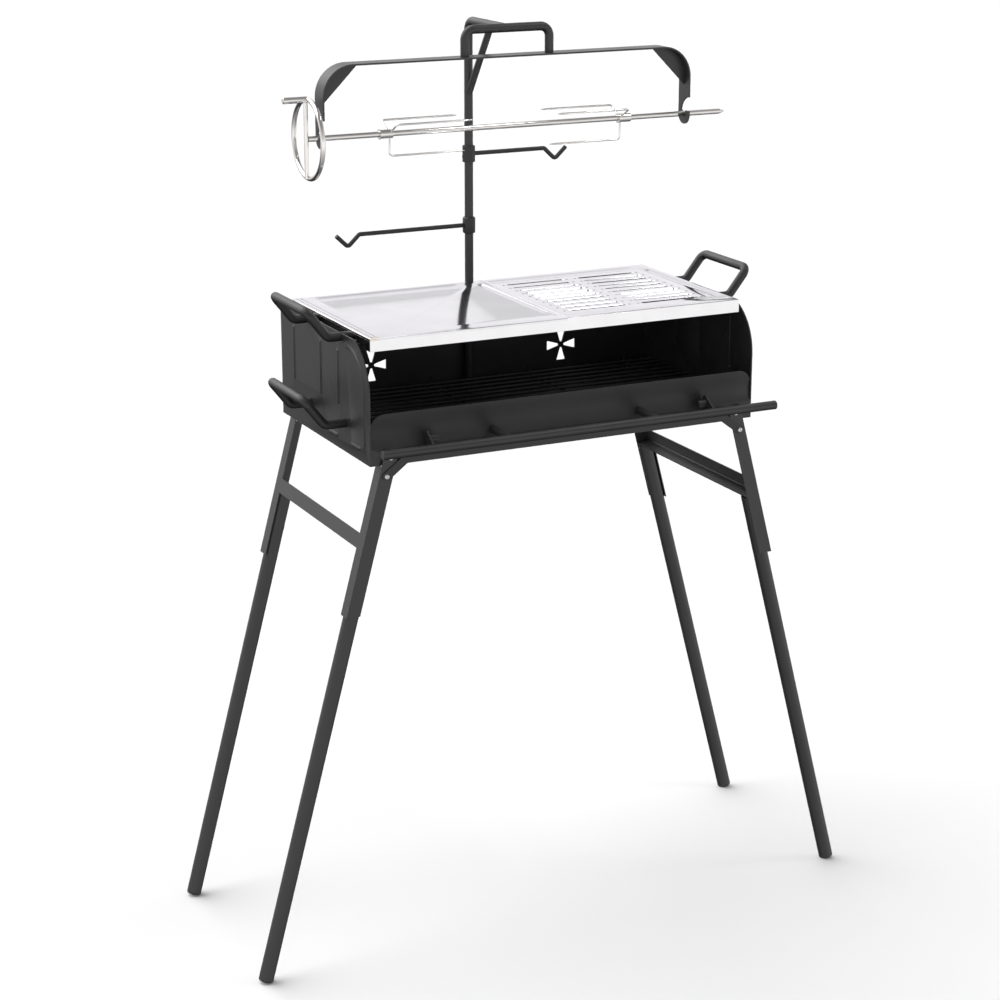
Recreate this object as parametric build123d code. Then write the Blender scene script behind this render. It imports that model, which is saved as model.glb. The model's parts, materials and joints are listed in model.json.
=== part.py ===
from build123d import *
import os
from math import cos, radians, sin, tan

# All sizes are in millimetres. +X runs along the firebox, -Y is the open front, +Z is up.

# firebox
box_length = 600.0
box_depth = 324.0
box_height = 169.0
box_under_z = 736.0
sheet = 2.0
wall_drop = 3.7
end_corner_radius = 75.0
front_panel_height = 71.0
front_panel_crease = 3.5
front_panel_corner = 20.0
bead_width_radius = 4.5
bead_rise = 1.6
bead_groove = 1.2
left_bead_places = (111.0, 10.0, -54.0)
right_bead_places = (147.0, 54.0, -15.0, -103.0)
vent_offset = 158.0
vent_shift = -2.0
vent_radius = 24.0
vent_height = 55.7

# front rail
rail_radius = 6.35
rail_length = 611.0
rail_reach = 56.0
rail_height = 31.0
stub_offset = 115.0
stub_radius = 5.5
lug_offset = 219.0
lug_thickness = 3.0
lug_pin_radius = 6.0
lug_pin_length = 13.0

# carrying handles
handle_radius = 6.35
handle_width = 126.0
handle_root = 30.0
handle_reach = 30.0
handle_rise = 38.0
handle_bend = 12.0
upper_handle_drop = 9.0
lower_handle_height = 41.0
lower_handle_shift = -12.0

# legs
leg_splay = 15.0
tube_radius = 10.65
tube_wall = 1.8
angle_size = 20.0
angle_thickness = 1.5
spacer_thickness = 3.0
bolt_inset = 21.8
bolt_drop = 14.8
bolt_spacing = 26.0
bolt_radius = 2.0
bolt_head_radius = 3.7
bolt_head_height = 2.2
bolt_socket = 1.3
angle_below_bolt = 194.5
tube_top_below_bolt = 109.5
crossbar_top_below_bolt = 87.0
crossbar_height = 21.0
crossbar_root = 1.6
leg_screw_below_bolt = 161.0
leg_screw_radius = 1.5
leg_screw_head = 2.4
foot_plug_thickness = 2.5

# apron strips
apron_height = 20.0
apron_half_length = 252.0
tongue_width = 12.0
tongue_length = 36.0
tongue_slope = 37.0

# cooking plates
plate_rise = 2.4
plate_thickness = 3.0
plate_end_gap = 10.0
plate_front_inset = 21.6
plate_rear_inset = 17.0
frame_height = 15.6
frame_sheet = 1.5
frame_ledge = 14.0
griddle_overhang = 1.6
plate_split_x = 9.6
griddle_gutter_width = 33.0
grate_gutter_width = 21.0
side_gutter_width = 14.0
gutter_depth = 1.6
gutter_corner = 5.0
slot_rows = 10
slot_pitch = 21.6
slot_width = 7.0
slot_length = 93.5
slot_first_y = 95.0
slot_end_hole = 1.8
slot_end_gap = 5.5
slot_left_x = 32.0
slot_column_gap = 118.5
ledge_width = 14.0

# charcoal grid
grid_rod_radius = 2.0
grid_rod_count = 12
grid_rod_pitch = 21.0
grid_rear_y = 112.0
grid_height = 30.0
grid_wire_places = (-245.0, -81.0, 81.0, 245.0)
grid_wire_turn_up = 14.0

# post and arm
post_radius = 6.35
post_shift = -4.0
post_inset = 12.0
post_bend = 16.0
arm_above_box = 385.0
arm_reach = 120.0
arm_end_gap = 1.5
brace_radius = 5.0
brace_below_arm = 107.0
brace_reach = 76.0
socket_wall = 3.0
socket_height = 15.0
post_foot_thickness = 3.0
guide_thickness = 3.0
guide_drop = 28.0

# spit cradle
strip_width = 30.0
strip_thickness = 2.5
strip_half_length = 288.5
strip_shift = 2.2
strip_bend = 45.0
strip_below_arm = 37.0
loop_half_width = 66.0
loop_bend = 14.0
gusset_thickness = 2.5
gusset_leg = 56.0
notch_sweep = 24.0
notch_lip = 5.0

# spit
spit_radius = 4.0
spit_below_strip = 100.0
spit_right_end = 357.2
spit_point = 9.0
wheel_offset = 303.0
wheel_radius = 54.0
ring_radius = 3.5
spoke_radius = 3.0
peg_radius = 4.5
peg_length = 36.0

# forks
fork_collar_radius = 6.2
fork_flange_radius = 7.2
fork_collar_length = 20.0
fork_place = 188.0
prong_radius = 1.4
prong_circle = 31.0
prong_bend = 5.0
prong_length = 107.0

# swing hooks
collar_radius = 9.4
collar_length = 24.0
bush_wall = 1.2
hook_radius = 3.2
upper_hook_above_box = 192.0
upper_hook_reach = 124.0
lower_hook_above_box = 86.5
lower_hook_reach = 176.0
hook_vee_depth = 17.0
hook_vee_half = 18.0
hook_vee_bend = 5.0

# fits
rest_gap = 0.3
turn_fit = 0.06
slide_fit = 0.10
bolt_fit = 0.10
post_clear = 3.0

# derived places
half_length = box_length / 2
half_depth = box_depth / 2
box_top_z = box_under_z + box_height
wall_top_z = box_top_z - wall_drop
plate_top_z = box_top_z + plate_rise
plate_half = half_length - plate_end_gap - sheet
plate_front_y = -half_depth + plate_front_inset
plate_rear_y = half_depth - plate_rear_inset
ledge_top_z = plate_top_z - plate_thickness - rest_gap - frame_height
rail_y = -half_depth - rail_reach
rail_z = box_under_z + rail_height
post_y = half_depth - post_inset
arm_z = box_top_z + arm_above_box
cradle_y = post_y - arm_reach
strip_top_z = arm_z - strip_below_arm
spit_z = strip_top_z - spit_below_strip
grid_z = box_under_z + grid_height
splay_sin = sin(radians(leg_splay))
splay_cos = cos(radians(leg_splay))
web_centre = tube_radius + angle_thickness - angle_size / 2
foot_z = tube_radius * splay_sin
bolt_z = box_under_z - bolt_drop
bolt_x = half_length - bolt_inset
bolt_run = (bolt_z - foot_z - web_centre * splay_sin) / splay_cos
foot_x = bolt_x - web_centre * splay_cos + bolt_run * splay_sin
web_back_y = half_depth + spacer_thickness
leg_y = web_back_y - tube_radius
web_front_y = web_back_y + angle_thickness
tongue_front_y = web_front_y + sheet
front_reach = -rail_y + rail_radius
rear_reach = tongue_front_y + bolt_head_height
frame_shift = (front_reach - rear_reach) / 2


def block(x0, x1, y0, y1, z0, z1):
    """A plain box between two corners."""
    middle = ((x0 + x1) / 2, (y0 + y1) / 2, (z0 + z1) / 2)
    return Pos(*middle) * Box(abs(x1 - x0), abs(y1 - y0), abs(z1 - z0))


def rod(start, end, radius):
    """A round bar between two points."""
    first = Vector(*start)
    run = Vector(*end) - first
    base = Plane(origin=first, z_dir=run)
    return extrude(base * Circle(radius), run.length)


def bend_path(points, bend):
    """Straight runs joined by tangent arcs of one radius."""
    corners = [Vector(*p) for p in points]
    edges = []
    start = corners[0]
    for i in range(1, len(corners) - 1):
        here = corners[i]
        back = (corners[i - 1] - here).normalized()
        ahead = (corners[i + 1] - here).normalized()
        half = radians(back.get_angle(ahead)) / 2
        first = here + back * (bend / tan(half))
        last = here + ahead * (bend / tan(half))
        inward = (back + ahead).normalized()
        middle = here + inward * (bend / sin(half) - bend)
        edges.append(Edge.make_line(start, first))
        edges.append(Edge.make_three_point_arc(first, middle, last))
        start = last
    edges.append(Edge.make_line(start, corners[-1]))
    return Wire(edges)


def bent_rod(points, bend, radius):
    """A round bar bent along a list of corners."""
    path = bend_path(points, bend)
    section = Plane(origin=path @ 0, z_dir=path % 0) * Circle(radius)
    return sweep(section, path=path)


def solids_over(shape, smallest=1.0):
    """The shape without crumbs left by cuts."""
    kept = [s for s in shape.solids() if s.volume > smallest]
    return kept[0] if len(kept) == 1 else Compound(kept)


def other_side(shape):
    """Mirror left and right."""
    return shape.mirror(Plane.YZ)


def other_face(shape):
    """Mirror front and rear."""
    return shape.mirror(Plane.XZ)


# ---------- firebox ----------

def bead_run(face_x, depth, points, bend):
    """A rounded ridge lying in the outer or inner skin, along corners given as (y, z)."""
    centre_x = face_x - bead_width_radius + depth
    corners = [(centre_x, y, z) for y, z in points]
    if len(corners) > 2:
        ridge = bent_rod(corners, bend, bead_width_radius)
    else:
        ridge = rod(corners[0], corners[1], bead_width_radius)
    for end in (corners[0], corners[-1]):
        ridge = ridge + Pos(*end) * Sphere(bead_width_radius)
    return ridge


def end_panel(bead_places, curved):
    """Right-hand end panel with a large curved top front corner and pressed beads."""
    panel = block(half_length - sheet, half_length, -half_depth, half_depth, box_under_z, wall_top_z)
    hub_y = -half_depth + end_corner_radius
    hub_z = box_top_z - end_corner_radius
    corner = block(half_length - 20, half_length + 20, -half_depth - 5, hub_y, hub_z, box_top_z + 5)
    disc = rod((half_length - 25, hub_y, hub_z), (half_length + 25, hub_y, hub_z), end_corner_radius)
    panel = panel - (corner - disc)
    runs = []
    for y in bead_places:
        runs.append([(y, box_under_z + 66), (y, box_top_z - 31)])
    runs.append([(-20.0, box_under_z + 17), (-46.0, box_under_z + 17)])
    runs.append([(-100.0, box_under_z + 17), (-127.0, box_under_z + 17)])
    if curved:
        front = -half_depth + 17
        lift = box_top_z - 17
        runs.append([(front, box_under_z + 28), (front, lift), (-half_depth + 60, lift)])
    for run in runs:
        bend = end_corner_radius - 17
        run_points = run
        if len(run) == 3:
            run_points = [run[0], run[1], (run[1][0] + bend + 1.0, run[1][1])]
        raised = bead_run(half_length, bead_rise, run_points, bend)
        sunk = bead_run(half_length - sheet, bead_groove, run_points, bend)
        outside = block(half_length - sheet / 2, half_length + 20, -half_depth, half_depth,
                        box_under_z, wall_top_z)
        panel = panel + (raised & outside) - sunk
    root_z = box_top_z - upper_handle_drop
    for side in (-1, 1):
        y = side * handle_width / 2
        gap = handle_radius + 1.2
        notch = block(half_length - 10, half_length + 10, y - gap, y + gap, root_z, box_top_z + 5)
        notch = notch + rod((half_length - 10, y, root_z), (half_length + 10, y, root_z), gap)
        panel = panel - notch
    return panel


def vent_cut():
    """Four wedge petals round one centre."""
    cut = None
    for turn in range(4):
        petal = Polygon((4.5, -1.6), (vent_radius, -7.5), (vent_radius, 7.5), (4.5, 1.6), align=None)
        petal = fillet(petal.vertices(), 1.2)
        petal = Plane.XZ * Rot(0, 0, 90 * turn) * petal
        solid = extrude(petal, 10, both=True)
        cut = solid if cut is None else cut + solid
    return cut


def back_panel(bolt_holes):
    """Rear wall with the two petal vents."""
    inside = half_length - sheet
    panel = block(-inside, inside, half_depth - sheet, half_depth, box_under_z, wall_top_z)
    for side in (-1, 1):
        place = Pos(side * vent_offset + vent_shift, half_depth - sheet / 2, box_under_z + vent_height)
        panel = panel - place * vent_cut()
    return (panel - bolt_holes).solid()


def bottom_panel():
    """Flat floor of the firebox."""
    inside = half_length - sheet
    return block(-inside, inside, -half_depth + sheet, half_depth - sheet, box_under_z, box_under_z + sheet)


def front_panel(bolt_holes):
    """Low front wall with a soft crease along it and rounded top corners."""
    inside = half_length - sheet
    low = box_under_z
    top = box_under_z + front_panel_height
    straight = low + 24
    crease = low + 41

    def skin(shift):
        y = -half_depth + shift
        edge = Line((y, low), (y, straight))
        curve = Spline((y, straight), (y + front_panel_crease, crease), (y, top - 4), (y - 0.4, top))
        return edge, curve

    outer = skin(0)
    inner = skin(sheet)
    foot = Line(inner[0] @ 0, outer[0] @ 0)
    brim = Line(outer[1] @ 1, inner[1] @ 1)
    face = make_face([*outer, brim, *inner, foot])
    panel = extrude(Plane.YZ.offset(-inside) * face, 2 * inside)
    for side in (-1, 1):
        hub_x = side * (inside - front_panel_corner)
        hub_z = top - front_panel_corner
        corner = block(hub_x, side * (inside + 5), -half_depth - 10, -half_depth + 20, hub_z, top + 5)
        disc = rod((hub_x, -half_depth - 20, hub_z), (hub_x, -half_depth + 30, hub_z), front_panel_corner)
        panel = panel - (corner - disc)
    return (panel - bolt_holes).solid()


def front_rail():
    """Round rail standing forward of the box."""
    return rod((-rail_length / 2, rail_y, rail_z), (rail_length / 2, rail_y, rail_z), rail_radius)


def rail_stubs(panel, rail):
    """Two stubs that carry the rail."""
    stubs = []
    for side in (-1, 1):
        x = side * stub_offset
        bar = rod((x, -half_depth + 0.5, rail_z), (x, rail_y, rail_z), stub_radius)
        bar = solids_over(bar - rail - panel, 200.0)
        stubs.append(bar)
    return Compound(stubs)


def rail_lugs(panel):
    """Two plate lugs between the front panel and the rail."""
    lugs = []
    y = -half_depth
    outline = Polygon((y + 0.5, rail_z - 9), (y + 0.5, rail_z + 5), (y - 3, rail_z + 12),
                      (y - 9, rail_z + 12), (y - 34, rail_z - 3), (y - 34, rail_z - 9), align=None)
    for side in (-1, 1):
        x = side * lug_offset
        plate = extrude(Plane.YZ.offset(x - lug_thickness / 2) * outline, lug_thickness)
        plate = solids_over(plate - panel, 50.0)
        lugs.append(plate)
    return Compound(lugs)


def lug_pins():
    """Short round pins on the inner side of the lugs."""
    pins = []
    y = -half_depth - 9.0
    for side in (-1, 1):
        x = side * (lug_offset - lug_thickness / 2)
        pins.append(rod((x, y, rail_z + 1), (x - side * lug_pin_length, y, rail_z + 1), lug_pin_radius))
    return Compound([p.solid() for p in pins])


def carrying_handle(root_x, centre_y, root_z):
    """Right-hand bent handle: root runs out, legs rise outward, grip runs along Y."""
    near_y = centre_y - handle_width / 2
    far_y = centre_y + handle_width / 2
    knee_x = root_x + handle_root
    grip_x = knee_x + handle_reach
    grip_z = root_z + handle_rise
    corners = [(root_x, near_y, root_z), (knee_x, near_y, root_z), (grip_x, near_y, grip_z),
               (grip_x, far_y, grip_z), (knee_x, far_y, root_z), (root_x, far_y, root_z)]
    return bent_rod(corners, handle_bend, handle_radius)


def ledge_pair(top_z, front_y, rear_y):
    """Two angle strips on the inner faces of the end panels."""
    inside = half_length - sheet
    strips = []
    for side in (-1, 1):
        shelf = block(side * inside, side * (inside - ledge_width), front_y, rear_y, top_z - sheet, top_z)
        wall = block(side * inside, side * (inside - sheet), front_y, rear_y, top_z - 14, top_z)
        strips.append((shelf + wall).solid())
    return Compound(strips)


# ---------- legs ----------

def leg_place():
    """Front right leg frame: local Z up the leg, local X outward, local Y to the rear."""
    return Plane(origin=(foot_x, -leg_y, foot_z), x_dir=(splay_cos, 0, splay_sin),
                 z_dir=(-splay_sin, 0, splay_cos)).location


def local_z_at(world_z, local_x):
    """Distance up the leg at which a line at local_x reaches a height."""
    return (world_z - foot_z - local_x * splay_sin) / splay_cos


def leg_angle():
    """Upper leg: an angle section with the web in front and the flange outside."""
    outer = tube_radius + angle_thickness
    inner = outer - angle_size
    low = bolt_run - angle_below_bolt - 20
    high = bolt_run + bolt_spacing + 10
    flange_high = local_z_at(box_under_z - 0.6, outer)
    web = block(inner, outer, -outer, -tube_radius, low, high)
    flange = block(tube_radius, outer, -outer, -outer + angle_size, low, flange_high)
    angle = web + flange
    for run in (bolt_run, bolt_run + bolt_spacing):
        hole = rod((web_centre, -30, run), (web_centre, 0, run), bolt_radius + bolt_fit)
        angle = angle - hole
    run = bolt_run - leg_screw_below_bolt
    angle = angle - rod((0, 0, run), (30, 0, run), leg_screw_radius)
    end_z = bolt_z - angle_below_bolt
    below = block(bolt_x - 50, bolt_x + 150, -leg_y - 40, -leg_y + 40, end_z - 60, end_z)
    return leg_place() * angle - below


def leg_tube():
    """Lower leg: a round tube lying in the corner of the angle."""
    high = bolt_run - tube_top_below_bolt
    tube = rod((0, 0, foot_plug_thickness), (0, 0, high), tube_radius)
    tube = tube - rod((0, 0, 0), (0, 0, high + 10), tube_radius - tube_wall)
    run = bolt_run - leg_screw_below_bolt
    tube = tube - rod((-30, 0, run), (30, 0, run), leg_screw_radius)
    return leg_place() * tube


def foot_plug():
    """Plug closing the lower end of the tube."""
    head = rod((0, 0, 0), (0, 0, foot_plug_thickness), tube_radius)
    spigot = rod((0, 0, 0), (0, 0, 15), tube_radius - tube_wall)
    return leg_place() * (head + spigot)


def leg_screw():
    """Low-headed screw through the tube into the flange of the angle."""
    run = bolt_run - leg_screw_below_bolt
    outer = tube_radius + angle_thickness
    shank = rod((-tube_radius, 0, run), (outer, 0, run), leg_screw_radius)
    head = rod((-tube_radius - 0.5, 0, run), (-tube_radius + 0.6, 0, run), leg_screw_head)
    head = head - rod((0, 0, run - 20), (0, 0, run + 20), tube_radius)
    return leg_place() * (head + shank)


def leg_spacer():
    """Packing plate between the box and the top of the leg."""
    outer = tube_radius + angle_thickness
    run = bolt_run + bolt_spacing
    rear = -tube_radius + spacer_thickness
    plate = block(outer - angle_size, outer, -tube_radius, rear, run - 8, run + 10)
    plate = plate - rod((web_centre, -30, run), (web_centre, 0, run), bolt_radius + bolt_fit)
    return leg_place() * plate


def upper_bolt_hole():
    """Round hole through the wall of the box for the upper leg bolt."""
    run = bolt_run + bolt_spacing
    return leg_place() * rod((web_centre, -30, run), (web_centre, 0, run), bolt_radius + bolt_fit)


def leg_bolt(run, head_y, end_y, with_nut):
    """Button-head bolt with a hexagon socket, with or without a nut behind it."""
    bolt = rod((web_centre, head_y, run), (web_centre, end_y, run), bolt_radius)
    front_y = head_y - bolt_head_height
    head = rod((web_centre, front_y, run), (web_centre, head_y, run), bolt_head_radius)
    rim = head.edges().filter_by(GeomType.CIRCLE).sort_by(Axis.Y)[0]
    head = fillet(rim, bolt_head_height * 0.8)
    socket = Plane(origin=(web_centre, front_y, run), z_dir=(0, 1, 0)) * RegularPolygon(bolt_socket, 6)
    bolt = bolt + head - extrude(socket, 1.2)
    if with_nut:
        bolt = bolt + rod((web_centre, end_y, run), (web_centre, end_y + 2.5, run), bolt_head_radius)
    return leg_place() * bolt


def crossbar():
    """Angle section that joins the front and rear legs of one side."""
    outer = tube_radius + angle_thickness
    inner = outer - angle_size
    high = bolt_run - crossbar_top_below_bolt
    low = high - crossbar_height
    near = -outer + angle_size
    far = 2 * leg_y - near
    wall = block(tube_radius, outer, near, far, low, high)
    shelf_far = 2 * leg_y + tube_radius
    shelf = block(inner, tube_radius, -tube_radius, shelf_far, low, low + angle_thickness)
    root_x = tube_radius - crossbar_root
    root_z = low + angle_thickness + crossbar_root
    root = block(root_x, tube_radius, near, far, low, root_z)
    root = root - rod((root_x, near - 5, root_z), (root_x, far + 5, root_z), crossbar_root)
    return leg_place() * (wall + shelf + root)


def four_of(shape):
    """The same piece at all four legs."""
    right_rear = other_face(shape)
    pieces = [shape, right_rear, other_side(shape), other_side(right_rear)]
    return Compound([p.solid() for p in pieces])


def apron():
    """Front apron strip with a tongue at each end that reaches the lower leg bolt."""
    back = -web_front_y
    front = -tongue_front_y
    low = box_under_z + 1.0
    high = low + apron_height
    strip = block(-apron_half_length, apron_half_length, front, back, low, high)
    top = block(-apron_half_length, apron_half_length, back, -half_depth, high - sheet, high)
    strip = strip + top
    for side in (-1, 1):
        slope = radians(tongue_slope)
        x = side * bolt_x
        x_far = x - side * tongue_length * cos(slope)
        z_far = bolt_z + tongue_length * sin(slope)
        middle = ((x + x_far) / 2, (front + back) / 2, (bolt_z + z_far) / 2)
        bar = Pos(*middle) * Rot(0, side * tongue_slope, 0) * Box(tongue_length, sheet, tongue_width)
        bar = bar + rod((x, front, bolt_z), (x, back, bolt_z), tongue_width / 2)
        hole = rod((x, front - 5, bolt_z), (x, back + 5, bolt_z), bolt_radius + bolt_fit)
        strip = strip + bar - hole
    return strip


# ---------- cooking plates ----------

def top_frame():
    """Sheet frame with a deep front skirt that carries both plates."""
    low = ledge_top_z + rest_gap
    high = plate_top_z - plate_thickness - rest_gap
    frame = block(-plate_half, plate_half, plate_front_y, plate_rear_y, low, high)
    inner = plate_half - frame_sheet
    hollow = block(-inner, inner, plate_front_y + frame_sheet, plate_rear_y - frame_sheet,
                   low - 1, high - frame_sheet)
    frame = frame - hollow
    rim = plate_half - frame_ledge
    for x0, x1 in ((-rim, plate_split_x - frame_ledge), (plate_split_x + frame_ledge, rim)):
        frame = frame - block(x0, x1, plate_front_y + frame_ledge, plate_rear_y - frame_ledge - 8,
                              high - 5, high + 5)
    lip = block(plate_split_x + rest_gap, plate_half, plate_front_y, plate_front_y + frame_sheet,
                high, plate_top_z - 0.4)
    frame = frame + lip
    return frame - post_clearance()


def post_clearance():
    """Upright round space left free for the post."""
    radius = post_radius + post_clear
    return rod((post_shift, post_y, box_under_z - 10), (post_shift, post_y, plate_top_z + 10), radius)


def gutter(x0, x1, y0, y1):
    """Shallow tray with rounded corners, cut into the top of a plate."""
    tray = block(x0, x1, y0, y1, plate_top_z - gutter_depth, plate_top_z + 5)
    corner = min(gutter_corner, (x1 - x0) / 2 - 0.1, (y1 - y0) / 2 - 0.1)
    return fillet(tray.edges().filter_by(Axis.Z), corner)


def griddle():
    """Solid hotplate for the left half with a rear and a right gutter."""
    left = -plate_half - 0.4
    front = plate_front_y - griddle_overhang
    plate = block(left, plate_split_x, front, plate_rear_y, plate_top_z - plate_thickness, plate_top_z)
    rear = plate_rear_y - 7
    side = plate_split_x - 5.4
    plate = plate - gutter(left + 28.4, side - 34, rear - griddle_gutter_width, rear)
    plate = plate - gutter(side - side_gutter_width, side, front + 42, plate_rear_y - 28)
    plate = plate - gutter(left + 11, left + 13, front + 3, plate_rear_y - 3)
    plate = plate - gutter(left + 5, left + 6, front + 3, plate_rear_y - 3)
    return plate - post_clearance()


def grate():
    """Slotted plate for the right half with a rear and a right gutter."""
    left = plate_split_x + 2 * rest_gap
    front = plate_front_y + frame_sheet + 2 * rest_gap
    plate = block(left, plate_half, front, plate_rear_y, plate_top_z - plate_thickness, plate_top_z)
    rear = plate_rear_y - 11
    plate = plate - gutter(left + 3, plate_half - 25, rear - grate_gutter_width, rear)
    plate = plate - gutter(plate_half - 20.5, plate_half - 9.5, front + 30, plate_rear_y - 39)
    cuts = []
    for row in range(slot_rows):
        y = slot_first_y - row * slot_pitch
        for column in range(2):
            x = slot_left_x + column * slot_column_gap
            slot = Pos(x + slot_length / 2, y, plate_top_z) * SlotOverall(slot_length, slot_width)
            cuts.append(extrude(slot, 10, both=True))
            for hole_x in (x - slot_end_gap, x + slot_length + slot_end_gap):
                hole = Pos(hole_x, y, plate_top_z) * Circle(slot_end_hole)
                cuts.append(extrude(hole, 10, both=True))
    plate = plate - cuts
    return plate - post_clearance()


def charcoal_grid():
    """Welded grid of long rods over cross wires that turn up at the rear."""
    reach = half_length - sheet - 4
    grid = None
    for i in range(grid_rod_count):
        y = grid_rear_y - i * grid_rod_pitch
        bar = rod((-reach, y, grid_z), (reach, y, grid_z), grid_rod_radius)
        grid = bar if grid is None else grid + bar
    front = grid_rear_y - (grid_rod_count - 1) * grid_rod_pitch - 4
    rear = grid_rear_y + 8
    wire_z = grid_z - 2 * grid_rod_radius + 0.6
    for x in grid_wire_places:
        corners = [(x, front, wire_z), (x, rear, wire_z), (x, rear, wire_z + grid_wire_turn_up)]
        grid = grid + bent_rod(corners, 4.5, grid_rod_radius)
    return grid


# ---------- post, arm and cradle ----------

def post_socket():
    """Short tube on the floor of the box that takes the foot of the post."""
    low = box_under_z + sheet
    high = low + socket_height
    bore = post_radius + slide_fit
    wall = rod((post_shift, post_y, low), (post_shift, post_y, high), bore + socket_wall)
    return wall - rod((post_shift, post_y, low - 1), (post_shift, post_y, high + 1), bore)


def post_guide():
    """Bracket on the rear wall with a hole that steadies the post."""
    high = ledge_top_z - guide_drop + 14
    low = high - guide_thickness
    rear = half_depth - sheet
    left = post_shift - 16
    right = post_shift + 16
    shelf = block(left, right, post_y - 14, rear, low, high)
    tab = block(left, right, rear - guide_thickness, rear, low - 14, high)
    hole = rod((post_shift, post_y, low - 30), (post_shift, post_y, high + 1), post_radius + slide_fit)
    return shelf + tab - hole


def post_foot():
    """Bearing disc under the post."""
    low = box_under_z + sheet + rest_gap
    high = low + post_foot_thickness
    return rod((post_shift, post_y, low), (post_shift, post_y, high), post_radius - rest_gap)


def post():
    """Post that bends forward at the top into the arm."""
    low = box_under_z + sheet + rest_gap + post_foot_thickness + rest_gap
    end_y = cradle_y + arm_end_gap
    corners = [(post_shift, post_y, low), (post_shift, post_y, arm_z), (post_shift, end_y, arm_z)]
    return bent_rod(corners, post_bend, post_radius)


def brace(post_solid):
    """Diagonal stay from the post to the arm."""
    foot = (post_shift, post_y, arm_z - brace_below_arm)
    head = (post_shift, post_y - brace_reach, arm_z)
    stay = rod(foot, head, brace_radius)
    return solids_over(stay - post_solid, 500.0)


def cradle_loop():
    """Inverted U that hangs the strip from the end of the arm."""
    half = loop_half_width
    corners = [(-half, cradle_y, strip_top_z), (-half, cradle_y, arm_z),
               (half, cradle_y, arm_z), (half, cradle_y, strip_top_z)]
    return bent_rod(corners, loop_bend, post_radius)


def trimmed_post(loop):
    """Post with its arm cut to meet the loop."""
    return solids_over(post() - loop, 500.0)


def strip_path_points():
    """Corners of the strip in the XZ plane, at half thickness."""
    reach = strip_half_length - strip_thickness / 2
    high = strip_top_z - strip_thickness / 2
    low = spit_z - strip_width / 2
    return [(-reach, cradle_y, low), (-reach, cradle_y, high),
            (reach, cradle_y, high), (reach, cradle_y, low)]


def strip_end_cut():
    """Everything removed from one end of the strip: rounding, hook mouth and spit seat, along X."""
    half = strip_width / 2
    long = 60
    axis_y = cradle_y
    low_band = block(-long, long, axis_y - half - 5, axis_y + half + 5, spit_z - half - 5, spit_z)
    low_band = low_band - rod((-long, axis_y, spit_z), (long, axis_y, spit_z), half)
    hub_y = axis_y - half - 1
    mouth = rod((-long, hub_y, spit_z + 1), (long, hub_y, spit_z + 1), notch_sweep)
    mouth = mouth - block(-long, long, hub_y - 40, hub_y + 60, spit_z - 60, spit_z + notch_lip)
    seat_radius = spit_radius + rest_gap
    seat = rod((-long, axis_y, spit_z), (long, axis_y, spit_z), seat_radius)
    throat = block(-long, long, axis_y - seat_radius, axis_y + seat_radius, spit_z, spit_z + notch_lip + 1)
    return low_band + mouth + seat + throat


def cradle_strip():
    """Flat strip bent down at both ends, each end shaped into an open hook for the spit."""
    path = bend_path(strip_path_points(), strip_bend - strip_thickness / 2)
    start = Plane(origin=path @ 0, x_dir=(0, 1, 0), z_dir=path % 0)
    strip = sweep(start * Rectangle(strip_width, strip_thickness), path=path)
    for side in (-1, 1):
        strip = strip - Pos(side * strip_half_length, 0, 0) * strip_end_cut()
    return solids_over(strip, 500.0)


def cradle_gussets(strip):
    """Corner plates under the two bends of the strip."""
    plates = []
    reach = strip_half_length - 0.5
    high = strip_top_z - 0.5
    for side in (-1, 1):
        corner_x = side * reach
        outline = Polygon((corner_x, high), (corner_x - side * (gusset_leg + 3), high),
                          (corner_x, high - gusset_leg - 3), align=None)
        face = Plane.XZ.offset(-cradle_y) * outline
        plate = extrude(face, gusset_thickness / 2, both=True)
        pieces = sorted((plate - strip).solids(), key=lambda s: abs(s.center().X))
        inner = [s for s in pieces if s.volume > 300.0][0]
        plates.append(inner)
    return Compound(plates)


# ---------- spit and forks ----------

def spit_rod():
    """Round spit with a drawn-out point."""
    shoulder = spit_right_end - spit_point
    bar = rod((-wheel_offset, cradle_y, spit_z), (shoulder, cradle_y, spit_z), spit_radius)
    place = Plane(origin=(shoulder + spit_point / 2, cradle_y, spit_z), z_dir=(1, 0, 0))
    point = place * Cone(spit_radius, 0.8, spit_point)
    return bar + point


def wheel_ring():
    """Round hand wheel rim."""
    place = Plane(origin=(-wheel_offset, cradle_y, spit_z), z_dir=(1, 0, 0))
    return place * Torus(wheel_radius, ring_radius)


def wheel_spoke(ring, bar, peg):
    """Upright bar across the rim, cut to meet the rim, the spit and the peg."""
    x = -wheel_offset - spit_radius + 1
    stay = rod((x, cradle_y, spit_z - wheel_radius), (x, cradle_y, spit_z + wheel_radius), spoke_radius)
    return solids_over(stay - ring - bar - peg, 300.0)


def crank_peg(ring):
    """Peg for turning the wheel by hand."""
    high = spit_z + wheel_radius
    tip_x = -wheel_offset - peg_length
    peg = rod((tip_x, cradle_y, high), (-wheel_offset - 1.2, cradle_y, high), peg_radius)
    end = peg.edges().filter_by(GeomType.CIRCLE).sort_by(Axis.X)[0]
    peg = fillet(end, 1.2)
    return solids_over(peg - ring, 300.0)


def fork_collar(flange_outside):
    """Right-hand collar that slides on the spit, with a thin flange at one end."""
    x0 = fork_place - fork_collar_length / 2
    x1 = fork_place + fork_collar_length / 2
    collar = rod((x0, cradle_y, spit_z), (x1, cradle_y, spit_z), fork_collar_radius)
    flange_x = x1 - 1.6 if flange_outside else x0
    collar = collar + rod((flange_x, cradle_y, spit_z), (flange_x + 1.6, cradle_y, spit_z), fork_flange_radius)
    return collar - rod((x0 - 5, cradle_y, spit_z), (x1 + 5, cradle_y, spit_z), spit_radius + turn_fit)


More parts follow.
